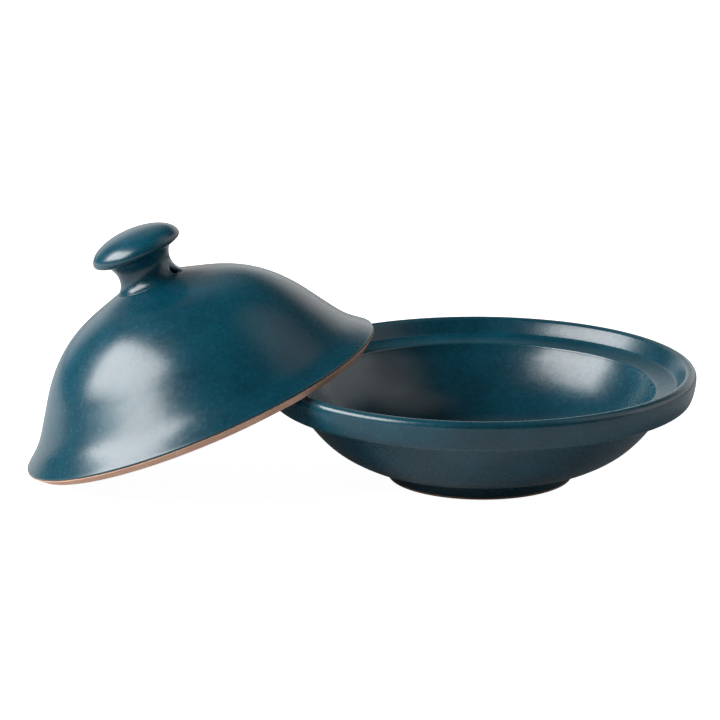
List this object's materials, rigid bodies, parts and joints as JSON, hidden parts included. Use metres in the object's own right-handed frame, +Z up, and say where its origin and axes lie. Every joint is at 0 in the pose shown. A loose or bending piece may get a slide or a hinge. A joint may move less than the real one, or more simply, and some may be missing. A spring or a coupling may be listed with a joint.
{
  "type": "tagine pot",
  "caption": "Glazed stoneware tagine: shallow footed dish with a gallery rim, and a domed lid with a mushroom knob and a steam vent, leaning on the dish.",
  "frame": {"origin": "centre of the dish's foot ring, on the table that the dish stands on", "axes": "+Z up along the dish's own axis; the lid leans on the dish from its -X side, with its axis tilted towards -X in the XZ plane; +Y is away from the side the pot is usually seen from"},
  "size_m": [0.4685, 0.3, 0.1771],
  "materials": {
    "dish_glaze": "satin teal stoneware glaze",
    "lid_glaze": "satin teal stoneware glaze",
    "bare_clay": "unglazed brown stoneware, matt and fine grained"
  },
  "bodies": {
    "dish": {"dish_body": "dish_glaze", "dish_foot_ring": "dish_glaze", "dish_foot_band": "bare_clay"},
    "lid": {"lid_dome": "lid_glaze", "lid_rim_band": "bare_clay", "lid_knob": "lid_glaze"}
  },
  "joints": [
    {"name": "lid_lift", "type": "slide", "parent": "dish", "child": "lid", "axis": [0, 0, 1], "range_m": [0, 0.15]}
  ]
}
